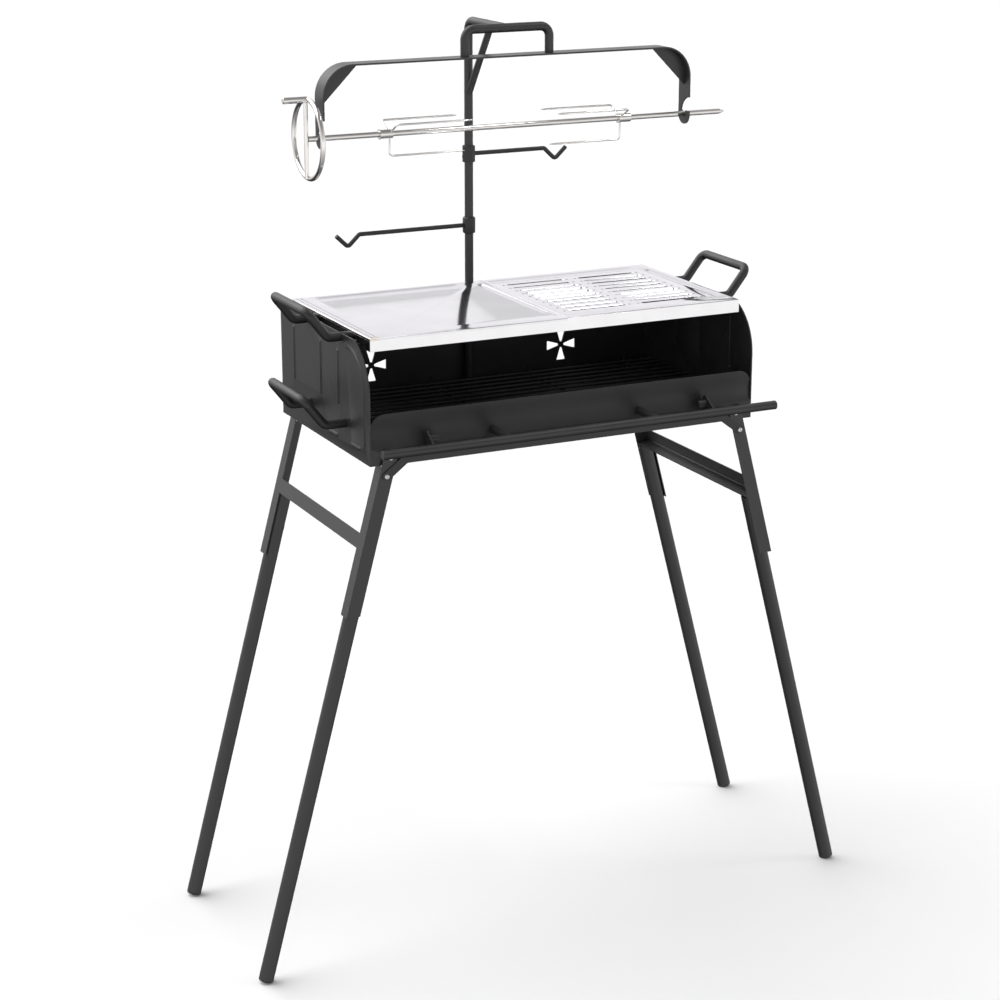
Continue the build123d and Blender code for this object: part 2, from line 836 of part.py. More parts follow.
def fork_prongs():
    """Three bent prongs of the right-hand fork, pointing to the left."""
    root_x = fork_place - fork_collar_length / 2 + 4
    prongs = []
    for turn in (-90, 30, 150):
        dy = cos(radians(turn))
        dz = sin(radians(turn))
        inner = (root_x, cradle_y + dy * (spit_radius + 1), spit_z + dz * (spit_radius + 1))
        knee = (root_x, cradle_y + dy * prong_circle, spit_z + dz * prong_circle)
        tip = (root_x - prong_length, knee[1], knee[2])
        wire = bent_rod([inner, knee, tip], prong_bend, prong_radius)
        place = Plane(origin=(tip[0] - 4, tip[1], tip[2]), z_dir=(-1, 0, 0))
        wire = wire + place * Cone(prong_radius, 0.5, 8)
        bore = rod((root_x - 40, cradle_y, spit_z), (root_x + 60, cradle_y, spit_z), fork_collar_radius)
        wire = solids_over(wire - bore, 200.0)
        prongs.append(wire)
    return Compound(prongs)


# ---------- swing hooks ----------

def hook_bush(z):
    """Thin bush between the post and a hook collar."""
    bore = post_radius + turn_fit
    low = z - collar_length / 2 + 0.5
    high = z + collar_length / 2 - 0.5
    sleeve = rod((post_shift, post_y, low), (post_shift, post_y, high), bore + bush_wall)
    return sleeve - rod((post_shift, post_y, low - 1), (post_shift, post_y, high + 1), bore)


def hook_collar(z, chamfer_size):
    """Collar that turns on its bush."""
    bore = post_radius + turn_fit + bush_wall + turn_fit
    low = z - collar_length / 2
    high = z + collar_length / 2
    ring = rod((post_shift, post_y, low), (post_shift, post_y, high), collar_radius)
    rims = ring.edges().filter_by(GeomType.CIRCLE)
    ring = chamfer(rims, chamfer_size)
    return ring - rod((post_shift, post_y, low - 1), (post_shift, post_y, high + 1), bore)


def hook_arm(z, reach, side):
    """Round arm ending in a V for hanging a pot."""
    start = side * (collar_radius - 1.0)
    ends = [(start, z), (side * reach, z),
            (side * (reach + hook_vee_half), z - hook_vee_depth),
            (side * (reach + 2 * hook_vee_half), z)]
    corners = [(post_shift + x, post_y, height) for x, height in ends]
    arm = bent_rod(corners, hook_vee_bend, hook_radius)
    core = rod((post_shift, post_y, z - 20), (post_shift, post_y, z + 20), collar_radius)
    return solids_over(arm - core, 500.0)


def set_screws(z, side):
    """Two small screws in the side of the upper collar."""
    screws = []
    core = rod((post_shift, post_y, z - 20), (post_shift, post_y, z + 20), collar_radius)
    for dz in (-4.0, 4.0):
        inner = (post_shift + side * (collar_radius - 1.0), post_y, z + dz)
        outer = (post_shift + side * (collar_radius + 0.8), post_y, z + dz)
        screws.append((rod(inner, outer, 1.8) - core).solid())
    return Compound(screws)


# ---------- all pieces ----------

def all_pieces():
    """Every node by name, in the working frame."""
    pieces = {}
    pieces["end_panel_right"] = end_panel(right_bead_places, False)
    pieces["end_panel_left"] = other_side(end_panel(left_bead_places, True))
    bolt_holes = four_of(upper_bolt_hole())
    pieces["back_panel"] = back_panel(bolt_holes)
    pieces["bottom_panel"] = bottom_panel()
    pieces["front_panel"] = front_panel(bolt_holes)
    pieces["front_rail"] = front_rail()
    pieces["rail_stubs"] = rail_stubs(pieces["front_panel"], pieces["front_rail"])
    pieces["rail_lugs"] = rail_lugs(pieces["front_panel"])
    pieces["lug_pins"] = lug_pins()
    lower_z = box_under_z + lower_handle_height
    pieces["lower_handle_right"] = carrying_handle(half_length, -lower_handle_shift, lower_z)
    pieces["lower_handle_left"] = other_side(carrying_handle(half_length, lower_handle_shift, lower_z))
    pieces["top_ledges"] = ledge_pair(ledge_top_z, -half_depth + 78, half_depth - 12)
    grid_rest = grid_z - grid_rod_radius - rest_gap
    pieces["grid_ledges"] = ledge_pair(grid_rest, -half_depth + 22, half_depth - 40)
    pieces["post_socket"] = post_socket()
    pieces["post_guide"] = post_guide()

    right_front = leg_angle()
    right_rear = other_face(right_front)
    pieces["leg_angle_front_right"] = right_front
    pieces["leg_angle_rear_right"] = right_rear
    pieces["leg_angle_front_left"] = other_side(right_front)
    pieces["leg_angle_rear_left"] = other_side(right_rear)
    tube = leg_tube()
    tube_rear = other_face(tube)
    pieces["leg_tube_front_right"] = tube
    pieces["leg_tube_rear_right"] = tube_rear
    pieces["leg_tube_front_left"] = other_side(tube)
    pieces["leg_tube_rear_left"] = other_side(tube_rear)
    pieces["crossbar_right"] = crossbar()
    pieces["crossbar_left"] = other_side(crossbar())
    outer = tube_radius + angle_thickness
    lower_bolt = leg_bolt(bolt_run, -outer - sheet, -tube_radius, False)
    inner_face = -tube_radius + spacer_thickness + sheet
    upper_bolt = leg_bolt(bolt_run + bolt_spacing, -outer, inner_face, True)
    pieces["leg_bolts_lower"] = four_of(lower_bolt)
    pieces["leg_bolts_upper"] = four_of(upper_bolt)
    pieces["leg_screws"] = four_of(leg_screw())
    pieces["foot_plugs"] = four_of(foot_plug())
    pieces["leg_spacers"] = four_of(leg_spacer())
    pieces["apron_front"] = apron()
    pieces["apron_rear"] = other_face(apron())

    pieces["top_frame"] = top_frame()
    upper_z = box_top_z - upper_handle_drop
    pieces["upper_handle_right"] = carrying_handle(plate_half, 0.0, upper_z)
    pieces["upper_handle_left"] = other_side(pieces["upper_handle_right"])
    pieces["griddle"] = griddle()
    pieces["grate"] = grate()
    pieces["charcoal_grid"] = charcoal_grid()

    loop = cradle_loop()
    column = trimmed_post(loop)
    strip = cradle_strip()
    pieces["post_foot"] = post_foot()
    pieces["post"] = column
    pieces["brace"] = brace(column)
    pieces["cradle_loop"] = loop
    pieces["cradle_strip"] = Pos(strip_shift, 0, 0) * strip
    pieces["cradle_gussets"] = Pos(strip_shift, 0, 0) * cradle_gussets(strip)

    bar = spit_rod()
    ring = wheel_ring()
    peg = crank_peg(ring)
    pieces["spit_rod"] = bar
    pieces["wheel_ring"] = ring
    pieces["wheel_spoke"] = wheel_spoke(ring, bar, peg)
    pieces["crank_peg"] = peg
    prongs = fork_prongs()
    pieces["fork_collar_right"] = fork_collar(False)
    pieces["fork_prongs_right"] = prongs
    pieces["fork_collar_left"] = other_side(fork_collar(True))
    pieces["fork_prongs_left"] = other_side(prongs)

    upper = box_top_z + upper_hook_above_box
    lower = box_top_z + lower_hook_above_box
    pieces["upper_bush"] = hook_bush(upper)
    pieces["upper_collar"] = hook_collar(upper, 0.4)
    pieces["upper_hook_arm"] = hook_arm(upper, upper_hook_reach, 1)
    pieces["upper_set_screws"] = set_screws(upper, -1)
    pieces["lower_bush"] = hook_bush(lower)
    pieces["lower_collar"] = hook_collar(lower, 1.5)
    pieces["lower_hook_arm"] = hook_arm(lower, lower_hook_reach, -1)
    return pieces


os.makedirs("parts", exist_ok=True)
for name, shape in all_pieces().items():
    export_step(shape.moved(Location((0, frame_shift, 0))), f"parts/{name}.step")
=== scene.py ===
import json
from math import radians

import bmesh
import bpy
from mathutils import Matrix, Vector

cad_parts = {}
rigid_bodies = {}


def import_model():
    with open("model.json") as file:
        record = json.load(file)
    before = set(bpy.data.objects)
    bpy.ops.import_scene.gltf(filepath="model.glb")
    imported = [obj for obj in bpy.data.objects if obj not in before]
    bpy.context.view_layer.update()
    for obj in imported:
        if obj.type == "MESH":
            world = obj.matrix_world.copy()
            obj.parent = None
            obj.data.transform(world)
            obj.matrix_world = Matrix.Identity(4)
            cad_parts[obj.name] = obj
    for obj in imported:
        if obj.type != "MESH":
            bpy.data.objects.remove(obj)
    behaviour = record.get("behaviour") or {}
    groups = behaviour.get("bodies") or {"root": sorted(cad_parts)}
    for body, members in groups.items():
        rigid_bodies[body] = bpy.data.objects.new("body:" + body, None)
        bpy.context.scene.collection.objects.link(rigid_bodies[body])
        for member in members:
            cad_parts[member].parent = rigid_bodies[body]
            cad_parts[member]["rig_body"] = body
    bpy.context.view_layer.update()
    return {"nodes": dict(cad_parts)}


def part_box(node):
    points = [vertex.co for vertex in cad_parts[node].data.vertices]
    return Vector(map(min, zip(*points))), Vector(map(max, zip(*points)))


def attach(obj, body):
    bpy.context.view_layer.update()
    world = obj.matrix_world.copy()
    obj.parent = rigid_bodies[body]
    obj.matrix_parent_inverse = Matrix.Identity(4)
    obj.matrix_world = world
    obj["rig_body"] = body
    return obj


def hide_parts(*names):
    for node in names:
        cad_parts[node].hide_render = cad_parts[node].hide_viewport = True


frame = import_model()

NODES = frame["nodes"]
MM = 0.001
SHARP = radians(32)

# mesh tolerances, in metres
SAME_POINT = 1e-6
SAME_HEIGHT = 1e-5
GUTTER_SKIN = 0.0004

# how strongly the painted edge highlight (lighter edges in wear-like patches) and the settled dust show
COAT_EDGE_SHARE = 0.55
BAR_EDGE_SHARE = 0.4
DUST_COLOUR = (0.20, 0.19, 0.18)
# near-white colour of the painted edge highlight on the bright bars
EDGE_HIGHLIGHT_COLOUR = (0.93, 0.92, 0.90)


# ---------- shader helpers ----------

def set_input(node, name, value):
    """Sets one socket of a node."""
    node.inputs[name].default_value = value


def add_node(tree, kind, **inputs):
    """Adds a node and sets the sockets that are named."""
    node = tree.nodes.new(kind)
    for name, value in inputs.items():
        set_input(node, name.replace("_", " "), value)
    return node


def join(tree, source, output, target, target_input):
    """Links two sockets by name or index."""
    tree.links.new(source.outputs[output], target.inputs[target_input])


def math_node(tree, operation, first, second=None, clamp=False):
    """A Math node whose inputs are numbers or (node, output) pairs."""
    node = tree.nodes.new("ShaderNodeMath")
    node.operation = operation
    node.use_clamp = clamp
    for i, value in enumerate((first, second)):
        if value is None:
            continue
        if isinstance(value, tuple):
            tree.links.new(value[0].outputs[value[1]], node.inputs[i])
        else:
            node.inputs[i].default_value = value
    return node


def ramp_node(tree, stops, source=None, output=0):
    """A colour ramp with (place, grey or colour) stops."""
    node = tree.nodes.new("ShaderNodeValToRGB")
    ramp = node.color_ramp
    while len(ramp.elements) < len(stops):
        ramp.elements.new(0.5)
    for element, (place, tone) in zip(ramp.elements, stops):
        element.position = place
        element.color = (tone, tone, tone, 1) if isinstance(tone, (int, float)) else (*tone, 1)
    if source is not None:
        tree.links.new(source.outputs[output], node.inputs["Fac"])
    return node


def mix_colour(tree, factor, first, second, blend="MIX"):
    """Mixes two colours; each input is a colour, a number or a (node, output) pair."""
    node = tree.nodes.new("ShaderNodeMix")
    node.data_type = "RGBA"
    node.blend_type = blend
    for socket, value in ((node.inputs[0], factor), (node.inputs[6], first), (node.inputs[7], second)):
        if isinstance(value, tuple) and not isinstance(value[0], (int, float)):
            tree.links.new(value[0].outputs[value[1]], socket)
        elif isinstance(value, tuple):
            socket.default_value = (*value, 1)
        else:
            socket.default_value = value
    return node


def new_group(name, inputs, outputs):
    """A shader node group with named number inputs and named outputs."""
    tree = bpy.data.node_groups.new(name, "ShaderNodeTree")
    for label, value in inputs:
        socket = tree.interface.new_socket(name=label, in_out="INPUT", socket_type="NodeSocketFloat")
        socket.default_value = value
    for label in outputs:
        tree.interface.new_socket(name=label, in_out="OUTPUT", socket_type="NodeSocketFloat")
    entry = tree.nodes.new("NodeGroupInput")
    leave = tree.nodes.new("NodeGroupOutput")
    return tree, entry, leave


def noise_in_metres(tree, entry, size_input, stretch=(1, 1, 1), detail=2.0, rough=0.5):
    """Noise on Object coordinates whose feature size in millimetres comes from a group input."""
    place = tree.nodes.new("ShaderNodeTexCoord")
    shape = tree.nodes.new("ShaderNodeVectorMath")
    shape.operation = "MULTIPLY"
    shape.inputs[1].default_value = stretch
    join(tree, place, "Object", shape, 0)
    scale = math_node(tree, "DIVIDE", 1000.0, (entry, size_input))
    noise = add_node(tree, "ShaderNodeTexNoise", Detail=detail, Roughness=rough)
    join(tree, shape, 0, noise, "Vector")
    join(tree, scale, 0, noise, "Scale")
    return noise


def make_grain_group():
    """Fine and broad variation for a coated or polished surface."""
    tree, entry, leave = new_group("surface_grain", [("Fine mm", 1.2), ("Broad mm", 60.0)], ["Fine", "Broad"])
    join(tree, noise_in_metres(tree, entry, "Fine mm", detail=3.0), "Fac", leave, "Fine")
    join(tree, noise_in_metres(tree, entry, "Broad mm", detail=4.0, rough=0.6), "Fac", leave, "Broad")
    return tree


def make_edge_group():
    """Mask for a painted edge highlight: high on rounded-over outer edges, broken up by noise into wear-like
    patches.
    """
    tree, entry, leave = new_group("edge_highlight_and_rub", [("Radius mm", 0.8), ("Patch mm", 9.0)], ["Edge light and rub"])
    radius = math_node(tree, "MULTIPLY", (entry, "Radius mm"), MM)
    bevel = tree.nodes.new("ShaderNodeBevel")
    bevel.samples = 4
    join(tree, radius, 0, bevel, "Radius")
    surface = tree.nodes.new("ShaderNodeNewGeometry")
    dot = tree.nodes.new("ShaderNodeVectorMath")
    dot.operation = "DOT_PRODUCT"
    join(tree, bevel, "Normal", dot, 0)
    join(tree, surface, "Normal", dot, 1)
    edge = math_node(tree, "SUBTRACT", 1.0, (dot, "Value"))
    patch = noise_in_metres(tree, entry, "Patch mm", detail=5.0, rough=0.65)
    kept = ramp_node(tree, [(0.42, 0.0), (0.62, 1.0)], patch, "Fac")
    strong = math_node(tree, "MULTIPLY", (edge, 0), 7.0, clamp=True)
    edge_light_and_rub = math_node(tree, "MULTIPLY", (strong, 0), (kept, 0))
    join(tree, edge_light_and_rub, 0, leave, "Edge light and rub")
    return tree


def make_dust_group():
    """Mask of a thin settled film on faces that look up."""
    tree, entry, leave = new_group("settled_film", [("Patch mm", 45.0)], ["Film"])
    surface = tree.nodes.new("ShaderNodeNewGeometry")
    parts = tree.nodes.new("ShaderNodeSeparateXYZ")
    join(tree, surface, "Normal", parts, 0)
    level = math_node(tree, "MULTIPLY", (parts, "Z"), 1.0, clamp=True)
    patch = noise_in_metres(tree, entry, "Patch mm", detail=6.0, rough=0.7)
    kept = ramp_node(tree, [(0.35, 0.0), (0.75, 1.0)], patch, "Fac")
    film = math_node(tree, "MULTIPLY", (level, 0), (kept, 0))
    join(tree, film, 0, leave, "Film")
    return tree


def make_streak_group():
    """Long fine streaks left by rolling and polishing, along X."""
    tree, entry, leave = new_group("polish_streaks", [("Streak mm", 0.9)], ["Streaks", "Smears"])
    lines = noise_in_metres(tree, entry, "Streak mm", stretch=(0.012, 1.0, 1.0), detail=3.0)
    join(tree, lines, "Fac", leave, "Streaks")
    smear_size = math_node(tree, "MULTIPLY", (entry, "Streak mm"), 70.0)
    place = tree.nodes.new("ShaderNodeTexCoord")
    scale = math_node(tree, "DIVIDE", 1000.0, (smear_size, 0))
    smear = add_node(tree, "ShaderNodeTexNoise", Detail=5.0, Roughness=0.62)
    join(tree, place, "Object", smear, "Vector")
    join(tree, scale, 0, smear, "Scale")
    join(tree, smear, "Fac", leave, "Smears")
    return tree


GRAIN = make_grain_group()
# mask of the painted edge highlight, used by the coats and the bright bars
EDGE_LIGHT_AND_RUB = make_edge_group()
SETTLED_FILM = make_dust_group()
POLISH = make_streak_group()


def place_group(tree, group, **inputs):
    """Puts a shared group in a material with its own values."""
    node = tree.nodes.new("ShaderNodeGroup")
    node.node_tree = group
    for name, value in inputs.items():
        set_input(node, name.replace("_", " "), value)
    return node


def new_material(name):
    """An empty material with a Principled shader."""
    material = bpy.data.materials.new(name)
    material.use_nodes = True
    tree = material.node_tree
    tree.nodes.clear()
    shader = tree.nodes.new("ShaderNodeBsdfPrincipled")
    out = tree.nodes.new("ShaderNodeOutputMaterial")
    join(tree, shader, "BSDF", out, "Surface")
    return material, tree, shader


def bump_from(tree, shader, source, output, strength, distance_mm):
    """Feeds a height into the shader's normal."""
    bump = add_node(tree, "ShaderNodeBump", Strength=strength, Distance=distance_mm * MM)
    join(tree, source, output, bump, "Height")
    join(tree, bump, "Normal", shader, "Normal")


def spread(tree, source, output, low, high):
    """Maps a 0..1 value to a range."""
    node = tree.nodes.new("ShaderNodeMapRange")
    node.inputs["From Min"].default_value = 0.25
    node.inputs["From Max"].default_value = 0.75
    node.inputs["To Min"].default_value = low
    node.inputs["To Max"].default_value = high
    join(tree, source, output, node, "Value")
    return node


def coated_material(name, dark, light, edge_light_and_rub, rough_low, rough_high, grain_mm, bump, film=0.10):
    """Satin powder coat: speckled colour, uneven gloss, orange-peel skin and edges painted lighter as a
    highlight, in wear-like patches.
    """
    material, tree, shader = new_material(name)
    grain = place_group(tree, GRAIN, Fine_mm=grain_mm, Broad_mm=70.0)
    edge = place_group(tree, EDGE_LIGHT_AND_RUB, Radius_mm=0.9, Patch_mm=8.0)
    dust = place_group(tree, SETTLED_FILM, Patch_mm=38.0)
    tone = mix_colour(tree, (spread(tree, grain, "Broad", 0.0, 1.0), 0), dark, light)
    # lighter edges: a painted edge highlight, broken into wear-like patches
    edge_share = math_node(tree, "MULTIPLY", (edge, "Edge light and rub"), COAT_EDGE_SHARE)
    edge_lit = mix_colour(tree, (edge_share, 0), (tone, 2), edge_light_and_rub)
    dust_share = math_node(tree, "MULTIPLY", (dust, "Film"), film)
    dusty = mix_colour(tree, (dust_share, 0), (edge_lit, 2), DUST_COLOUR)
    join(tree, dusty, 2, shader, "Base Color")
    gloss = spread(tree, grain, "Broad", rough_low, rough_high)
    speck = math_node(tree, "MULTIPLY", (grain, "Fine"), 0.06)
    total = math_node(tree, "ADD", (gloss, 0), (speck, 0), clamp=True)
    join(tree, total, 0, shader, "Roughness")
    bump_from(tree, shader, grain, "Fine", bump, 0.12)
    return material


def polished_material(name, colour, shade, rough_low, rough_high, wave, tint=None):
    """Polished sheet: streaks, faint smears, a slightly wavy skin and, if asked, a heat tint."""
    material, tree, shader = new_material(name)
    set_input(shader, "Metallic", 1.0)
    polish = place_group(tree, POLISH, Streak_mm=0.8)
    grain = place_group(tree, GRAIN, Fine_mm=90.0, Broad_mm=55.0)
    tone = mix_colour(tree, (spread(tree, polish, "Smears", 0.0, 1.0), 0), colour, shade)
    last = tone
    if tint is not None:
        centre, reach, tint_colour = tint
        place = tree.nodes.new("ShaderNodeTexCoord")
        offset = tree.nodes.new("ShaderNodeVectorMath")
        offset.operation = "DISTANCE"
        offset.inputs[1].default_value = centre
        join(tree, place, "Object", offset, 0)
        wobble = math_node(tree, "MULTIPLY", (polish, "Smears"), 0.35 * reach)
        far = math_node(tree, "ADD", (offset, "Value"), (wobble, 0))
        near = tree.nodes.new("ShaderNodeMapRange")
        near.inputs["From Min"].default_value = reach
        near.inputs["From Max"].default_value = 0.25 * reach
        join(tree, far, 0, near, "Value")
        last = mix_colour(tree, (near, 0), (tone, 2), tint_colour, blend="MULTIPLY")
    join(tree, last, 2, shader, "Base Color")
    gloss = spread(tree, polish, "Streaks", rough_low, rough_high)
    smear = math_node(tree, "MULTIPLY", (grain, "Broad"), 0.03)
    total = math_node(tree, "ADD", (gloss, 0), (smear, 0), clamp=True)
    join(tree, total, 0, shader, "Roughness")
    bump_from(tree, shader, grain, "Fine", wave, 0.5)
    return material


def bright_bar_material(name, colour, shade, rough_low, rough_high):
    """Drawn bar, polished or plated: fine grain in the gloss, faint handling marks and a near-white painted
    highlight along the edges, in patches.
    """
    material, tree, shader = new_material(name)
    set_input(shader, "Metallic", 1.0)
    grain = place_group(tree, GRAIN, Fine_mm=0.7, Broad_mm=26.0)
    edge = place_group(tree, EDGE_LIGHT_AND_RUB, Radius_mm=0.5, Patch_mm=6.0)
    tone = mix_colour(tree, (spread(tree, grain, "Broad", 0.0, 1.0), 0), colour, shade)
    # near-white edges: a painted highlight on the bar's edges, broken into patches
    share = math_node(tree, "MULTIPLY", (edge, "Edge light and rub"), BAR_EDGE_SHARE)
    edge_lit = mix_colour(tree, (share, 0), (tone, 2), EDGE_HIGHLIGHT_COLOUR)
    join(tree, edge_lit, 2, shader, "Base Color")
    gloss = spread(tree, grain, "Broad", rough_low, rough_high)
    speck = math_node(tree, "MULTIPLY", (grain, "Fine"), 0.04)
    total = math_node(tree, "ADD", (gloss, 0), (speck, 0), clamp=True)
    join(tree, total, 0, shader, "Roughness")
    bump_from(tree, shader, grain, "Fine", 0.01, 0.05)
    return material


griddle_low, griddle_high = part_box("griddle")
CORNER = (griddle_low.x + 0.006, griddle_low.y + 0.003, griddle_high.z)
TINT_REACH = 0.014
TINT_COLOUR = (0.92, 0.80, 0.66)
# in each coat the third colour is the painted edge highlight
COAT = coated_material("black_powder_coat",
                       (0.016, 0.016, 0.017), (0.024, 0.024, 0.025), (0.16, 0.16, 0.16),
                       rough_low=0.34, rough_high=0.46, grain_mm=1.1, bump=0.22)
LEG_COAT = coated_material("leg_powder_coat",
                           (0.026, 0.026, 0.027), (0.037, 0.037, 0.038), (0.17, 0.17, 0.17),
                           rough_low=0.30, rough_high=0.42, grain_mm=1.0, bump=0.20)
# darker copy of the black coat: painted shade for the firebox floor and the charcoal grid inside the box
FIREBOX_SHADE_COAT = coated_material("firebox_painted_shade_coat",
                            (0.010, 0.010, 0.010), (0.017, 0.016, 0.016), (0.08, 0.08, 0.08),
                            rough_low=0.42, rough_high=0.56, grain_mm=1.3, bump=0.30, film=0.04)
PLATE = polished_material("polished_plate", (0.80, 0.79, 0.81), (0.72, 0.71, 0.73),
                          rough_low=0.07, rough_high=0.13, wave=0.01,
                          tint=(CORNER, TINT_REACH, TINT_COLOUR))
FRAME_SHEET = polished_material("polished_frame_sheet", (0.83, 0.82, 0.83), (0.76, 0.75, 0.76),
                                rough_low=0.09, rough_high=0.16, wave=0.02)
CHROME = bright_bar_material("bright_spit_bar", (0.82, 0.80, 0.78), (0.74, 0.72, 0.70), 0.07, 0.14)
ZINC = bright_bar_material("zinc_bolt", (0.66, 0.66, 0.67), (0.52, 0.52, 0.53), 0.22, 0.34)
TURNED = bright_bar_material("turned_bush", (0.45, 0.44, 0.43), (0.36, 0.35, 0.34), 0.24, 0.36)
PLUG = coated_material("foot_plug_plastic", (0.018, 0.018, 0.018), (0.030, 0.030, 0.030), (0.07, 0.07, 0.07),
                       rough_low=0.50, rough_high=0.66, grain_mm=2.0, bump=0.30)
DARK_SCREW = coated_material("dark_screw", (0.012, 0.012, 0.012), (0.020, 0.020, 0.020), (0.25, 0.25, 0.25),
                             rough_low=0.28, rough_high=0.36, grain_mm=0.8, bump=0.10)


# ---------- mesh helpers ----------

def body_of(node):
    """The body that a node rides on."""
    return NODES[node]["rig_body"]


def finish_piece(bm, node, material, edge_mm=0.0, steps=2):
    """Puts a finished piece in a node's place, with smooth faces, crisp edges and a small bevel."""
    name = node + "_finished"
    bmesh.ops.recalc_face_normals(bm, faces=bm.faces[:])
    mesh = bpy.data.meshes.new(name)
    bm.to_mesh(mesh)
    bm.free()
    mesh.shade_smooth()
    mesh.set_sharp_from_angle(angle=SHARP)
    piece = bpy.data.objects.new(name, mesh)
    bpy.context.scene.collection.objects.link(piece)
    mesh.materials.append(material)
    if edge_mm > 0:
        bevel = piece.modifiers.new("soft_edges", "BEVEL")
        bevel.width = edge_mm * MM
        bevel.segments = steps
        bevel.limit_method = "ANGLE"
        bevel.angle_limit = SHARP
        bevel.harden_normals = True
        bevel.use_clamp_overlap = True
    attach(piece, body_of(node))
    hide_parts(node)


def merged_copy(node):
    """A copy of a node's mesh with its loose triangles joined and its flat faces cleared."""
    bm = bmesh.new()
    bm.from_mesh(NODES[node].data)
    bmesh.ops.remove_doubles(bm, verts=bm.verts[:], dist=SAME_POINT)
    bmesh.ops.dissolve_limit(bm, angle_limit=radians(0.6), use_dissolve_boundaries=False,
                             verts=bm.verts[:], edges=bm.edges[:])
    return bm


def soften(node, material, edge_mm, steps=2):
    """Replaces a node by a copy of itself with small rounded edges."""
    finish_piece(merged_copy(node), node, material, edge_mm, steps)


def extrude_ring(bm, edges):
    """Extrudes an edge ring and gives the new ring back."""
    made = bmesh.ops.extrude_edge_only(bm, edges=edges)["geom"]
    verts = {g for g in made if isinstance(g, bmesh.types.BMVert)}
    return [g for g in made if isinstance(g, bmesh.types.BMEdge) and set(g.verts) <= verts]


def tray_parts(bm, top_z, low_z):
    """Groups the floor and wall faces of each gutter cut into the top of a plate."""
    def is_floor(face):
        return face.normal.z > 0.9 and low_z + GUTTER_SKIN < face.calc_center_median().z < top_z - GUTTER_SKIN

    def is_wall(face):
        heights = [v.co.z for v in face.verts]
        return abs(face.normal.z) < 0.2 and min(heights) > low_z + GUTTER_SKIN

    left = {face for face in bm.faces if is_floor(face) or is_wall(face)}
    trays = []
    while left:
        tray = set()
        waiting = [left.pop()]
        while waiting:
            face = waiting.pop()
            tray.add(face)
            near = {f for edge in face.edges for f in edge.link_faces} & left
            left -= near
            waiting.extend(near)
        trays.append(tray)
    return trays


DISH_STEPS = 9
DISH_REACH = 0.97


def dish(bm, tray, top_z, depth):
    """Replaces one square-sided gutter by a smooth shallow dish of the same outline."""
    rim = [e for f in tray for e in f.edges if all(abs(v.co.z - top_z) < SAME_HEIGHT for v in e.verts)]
    rim = list(set(rim))
    corners = [v.co for e in rim for v in e.verts]
    middle = Vector([(max(c[i] for c in corners) + min(c[i] for c in corners)) / 2 for i in (0, 1)])
    half = Vector([(max(c[i] for c in corners) - min(c[i] for c in corners)) / 2 for i in (0, 1)])
    narrow = min(half)
    bmesh.ops.delete(bm, geom=list(tray), context="FACES_ONLY")
    inside_edges = [e for e in bm.edges if not e.link_faces]
    bmesh.ops.delete(bm, geom=inside_edges, context="EDGES")
    loose = [v for v in bm.verts if not v.link_edges]
    bmesh.ops.delete(bm, geom=loose, context="VERTS")
    loop = rim
    for i in range(1, DISH_STEPS + 1):
        share = DISH_REACH * i / DISH_STEPS
        before = DISH_REACH * (i - 1) / DISH_STEPS
        loop = extrude_ring(bm, loop)
        drop = depth * (1 - (1 - share) ** 2)
        for v in {v for e in loop for v in e.verts}:
            for axis in (0, 1):
                scale = (half[axis] - share * narrow) / (half[axis] - before * narrow)
                v.co[axis] = middle[axis] + (v.co[axis] - middle[axis]) * scale
            v.co.z = top_z - drop
    bmesh.ops.edgeloop_fill(bm, edges=loop)


def is_outer_top(edge, low, high):
    """True for the top edges that lie on the outline of a plate."""
    ends = [v.co for v in edge.verts]
    if any(abs(c.z - high.z) > SAME_HEIGHT for c in ends):
        return False
    for axis in (0, 1):
        for limit in (low[axis], high[axis]):
            if all(abs(c[axis] - limit) < SAME_HEIGHT for c in ends):
                return True
    return False


SHORTEST_SLOT = 0.05
LONGEST_SLOT = 0.15


def chamfer_slots(bm, low, high, size_mm):
    """Cuts a wide chamfer round the top of every slot."""
    walls = {e for e in bm.edges if all(abs(v.co.z - high.z) < SAME_HEIGHT for v in e.verts)
             and any(abs(f.normal.z) < 0.2 and min(v.co.z for v in f.verts) < low.z + SAME_HEIGHT
                     for f in e.link_faces)
             and not is_outer_top(e, low, high)}
    left = set(walls)
    while left:
        loop = set()
        waiting = [left.pop()]
        while waiting:
            edge = waiting.pop()
            loop.add(edge)
            near = {e for v in edge.verts for e in v.link_edges} & left
            left -= near
            waiting.extend(near)
        reach = [v.co.x for e in loop for v in e.verts]
        if SHORTEST_SLOT < max(reach) - min(reach) < LONGEST_SLOT:
            bmesh.ops.bevel(bm, geom=list(loop), offset=size_mm * MM, affect="EDGES", segments=1,
                            profile=0.5, material=-1, clamp_overlap=True)


def plate_piece(node, depth, roll_mm, slot_chamfer_mm=0.0):
    """A cooking plate with dished gutters, a rolled outer edge and chamfered slots."""
    bm = merged_copy(node)
    low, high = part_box(node)
    if slot_chamfer_mm > 0:
        chamfer_slots(bm, low, high, slot_chamfer_mm)
    for tray in tray_parts(bm, high.z, low.z):
        dish(bm, tray, high.z, depth)
    roll = [e for e in bm.edges if is_outer_top(e, low, high)]
    bmesh.ops.bevel(bm, geom=roll, offset=roll_mm * MM, affect="EDGES", segments=4, profile=0.5,
                    material=-1, clamp_overlap=True)
    finish_piece(bm, node, PLATE)


# ---------- firebox ----------

for node in ("end_panel_left", "end_panel_right"):
    soften(node, COAT, 0.35)
for node in ("back_panel", "front_panel"):
    soften(node, COAT, 0.3)
